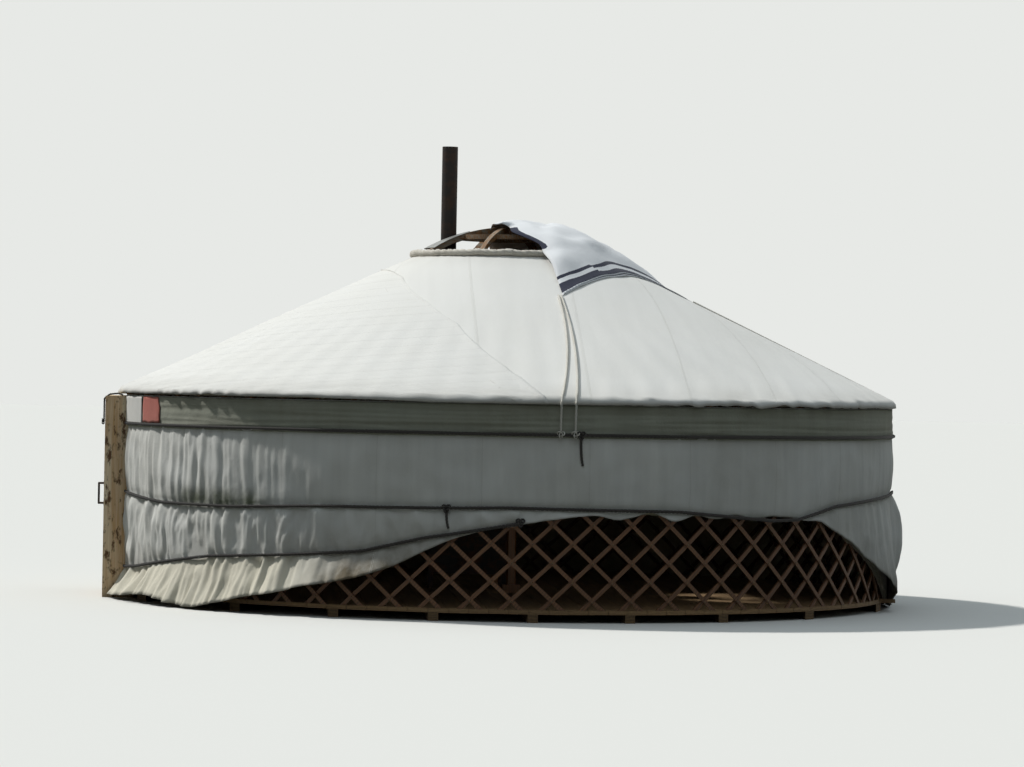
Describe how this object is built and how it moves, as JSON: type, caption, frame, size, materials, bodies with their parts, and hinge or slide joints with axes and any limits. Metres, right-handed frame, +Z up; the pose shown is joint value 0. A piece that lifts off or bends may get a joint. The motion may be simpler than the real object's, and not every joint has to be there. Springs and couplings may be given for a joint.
{
  "type": "yurt",
  "caption": "Round felt tent on a wooden lattice wall, with a pole roof, a domed open crown, canvas covers tied by ropes, a stovepipe and a hinged wooden door.",
  "frame": {"origin": "centre of the floor, on the ground under the middle bearer", "axes": "+Z up; the door faces -Y; +X is to the right of someone who looks at the door from outside"},
  "size_m": [5.9592, 6.0978, 3.47],
  "materials": {
    "canvas": "matt cotton canvas",
    "felt": "pressed wool felt",
    "band_cloth": "woven grey-green cloth",
    "patch_cloth": "woven red cloth",
    "dark_rope": "twisted horsehair",
    "pale_rope": "twisted wool",
    "frame_wood": "varnished pine",
    "floor_wood": "bare planed pine",
    "door_paint": "pale blue paint",
    "door_frame_wood": "weathered varnished pine",
    "ironwork": "black forged iron",
    "stove_steel": "heat-blackened sheet steel",
    "pipe_steel": "sooty sheet steel",
    "plate_metal": "dull zinc-coated sheet"
  },
  "bodies": {
    "house": {"floor_bearers": "floor_wood", "floor_boards": "floor_wood", "lattice_1": "frame_wood", "lattice_2": "frame_wood", "lattice_3": "frame_wood", "lattice_4": "frame_wood", "lattice_5": "frame_wood", "wall_felt_1": "felt", "wall_felt_2": "felt", "wall_felt_3": "felt", "wall_felt_4": "felt", "wall_cover_right": "canvas", "wall_cover_back": "canvas", "wall_cover_left": "canvas", "eave_band": "band_cloth", "band_patches": "patch_cloth", "wall_ropes": "dark_rope", "rope_tail_upper": "dark_rope", "rope_tail_middle": "dark_rope", "roof_poles_1": "frame_wood", "roof_poles_2": "frame_wood", "roof_poles_3": "frame_wood", "roof_poles_4": "frame_wood", "roof_poles_5": "frame_wood", "roof_poles_door": "frame_wood", "roof_felt_front": "felt", "roof_felt_back": "felt", "roof_cover_front": "canvas", "roof_cover_back": "canvas", "crown_ring": "frame_wood", "crown_spokes": "frame_wood", "crown_posts": "frame_wood", "crown_cover": "canvas", "crown_ropes": "pale_rope", "door_jambs": "door_frame_wood", "door_lintel": "door_frame_wood", "door_sill": "door_frame_wood", "door_pintles": "ironwork", "stove": "stove_steel", "stovepipe": "pipe_steel", "pipe_plate": "plate_metal"},
    "door": {"door_leaf": "door_frame_wood", "door_panels": "door_paint", "door_straps": "ironwork", "door_handle": "ironwork"}
  },
  "joints": [
    {"name": "door_hinge", "type": "hinge", "parent": "house", "child": "door", "pos_m": [-0.457, -3.0777, 0.77], "axis": [0, 0, -1], "range_deg": [0, 100]}
  ]
}
